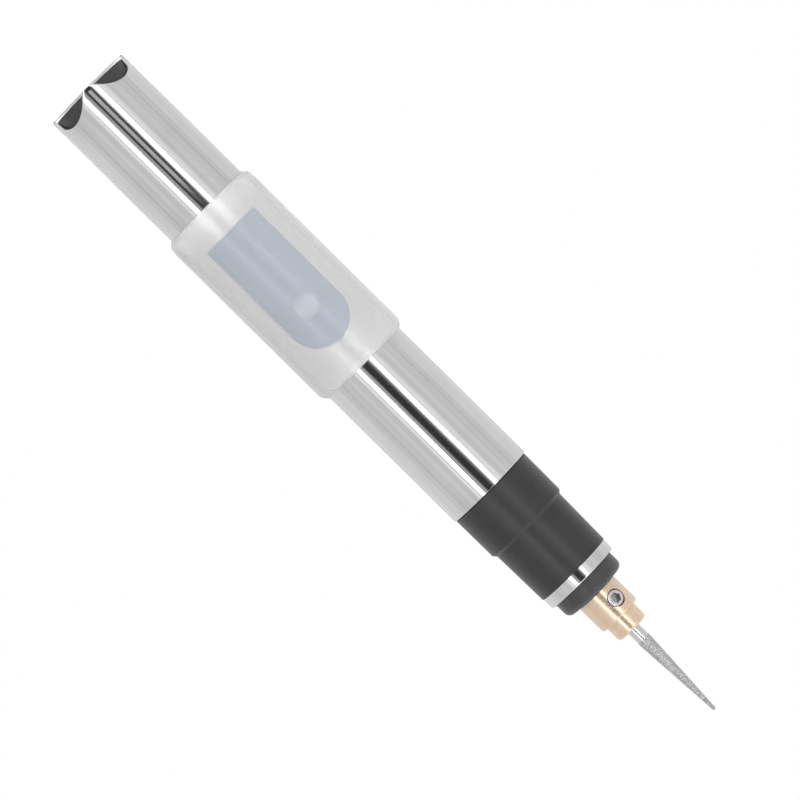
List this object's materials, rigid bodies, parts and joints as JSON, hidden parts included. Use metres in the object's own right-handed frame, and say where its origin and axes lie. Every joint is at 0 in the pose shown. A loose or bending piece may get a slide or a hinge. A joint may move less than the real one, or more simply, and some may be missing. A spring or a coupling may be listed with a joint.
{
  "type": "electric engraving pen",
  "caption": "Cordless pen-shaped engraver: polished barrel with a silicone switch sleeve, stepped black grip, brass chuck with clamp screw and tapered diamond burr.",
  "frame": {"origin": "centre of the tail rim, on the axis, in the plane that the rim's lands stand on", "axes": "+Z along the pen's axis from the tail rim to the burr's tip, -Y out of the switch side, +X to the right when the switch side is looked at with the tip up"},
  "size_m": [0.0182, 0.0182, 0.1442],
  "materials": {
    "polished_steel": "mirror polished, fine lengthwise drawing lines",
    "milky_silicone": "translucent milky white, satin",
    "blue_grey_plastic": "satin",
    "white_plastic": "moulded, satin",
    "black_plastic": "moulded, matte",
    "black_rubber": "matte",
    "plated_steel": "nickel plated",
    "spring_steel": "bright",
    "board_green": "solder mask",
    "cell_foil": "wound foil and separator",
    "cell_wrap_blue": "shrink film",
    "brass": "turned, bright",
    "copper": "copper",
    "sintered_bronze": "sintered, dull",
    "ferrite": "pressed, matte",
    "carbon": "pressed carbon",
    "red_insulation": "wire insulation",
    "black_insulation": "wire insulation",
    "diamond_grit": "coarse diamond grit in nickel"
  },
  "bodies": {
    "body": {"barrel_tube": "polished_steel", "silicone_sleeve": "milky_silicone", "window_panel": "blue_grey_plastic", "tail_plug": "black_plastic", "usb_shell": "plated_steel", "usb_tongue": "black_plastic", "charge_board": "board_green", "charge_chip": "black_plastic", "inner_frame": "white_plastic", "cell_can": "plated_steel", "cell_core": "cell_foil", "cell_wrap": "cell_wrap_blue", "cell_cap": "plated_steel", "cell_gasket": "white_plastic", "switch_board": "board_green", "switch_housing": "black_plastic", "switch_plate": "plated_steel", "switch_dome": "spring_steel", "wire_cell_positive": "red_insulation", "wire_cell_negative": "black_insulation", "wire_board_positive": "red_insulation", "wire_board_negative": "black_insulation", "wire_motor_positive": "red_insulation", "wire_motor_negative": "black_insulation", "nose_adapter": "plated_steel", "grip_sleeve": "black_rubber", "nose_tube": "polished_steel", "nose_cap": "black_rubber", "motor_can": "plated_steel", "motor_magnet_left": "ferrite", "motor_magnet_right": "ferrite", "motor_end_cap": "white_plastic", "brush_left": "carbon", "brush_right": "carbon", "terminal_left": "brass", "terminal_right": "brass", "front_bushing": "sintered_bronze", "rear_bushing": "sintered_bronze"},
    "button": {"switch_button": "white_plastic"},
    "spindle": {"rotor_core": "plated_steel", "rotor_coil_1": "copper", "rotor_coil_2": "copper", "rotor_coil_3": "copper", "commutator": "copper", "motor_shaft": "plated_steel", "chuck": "brass"},
    "clamp_screw": {"chuck_screw": "plated_steel"},
    "burr": {"burr_blank": "plated_steel", "burr_diamond": "diamond_grit"}
  },
  "joints": [
    {"name": "button_press", "type": "slide", "parent": "body", "child": "button", "axis": [0, 1, 0], "range_m": [0, 0.00025], "stiffness_N_per_m": 4000, "springref_m": -0.00025},
    {"name": "spindle_turn", "type": "hinge", "parent": "body", "child": "spindle", "pos_m": [0, 0, 0.1002], "axis": [0, 0, 1], "continuous": true},
    {"name": "clamp_screw_out", "type": "slide", "parent": "spindle", "child": "clamp_screw", "axis": [-0.4337, -0.9011, 0], "range_m": [0, 0.0012]},
    {"name": "burr_out", "type": "slide", "parent": "spindle", "child": "burr", "axis": [0, 0, 1], "range_m": [0, 0.007]}
  ]
}
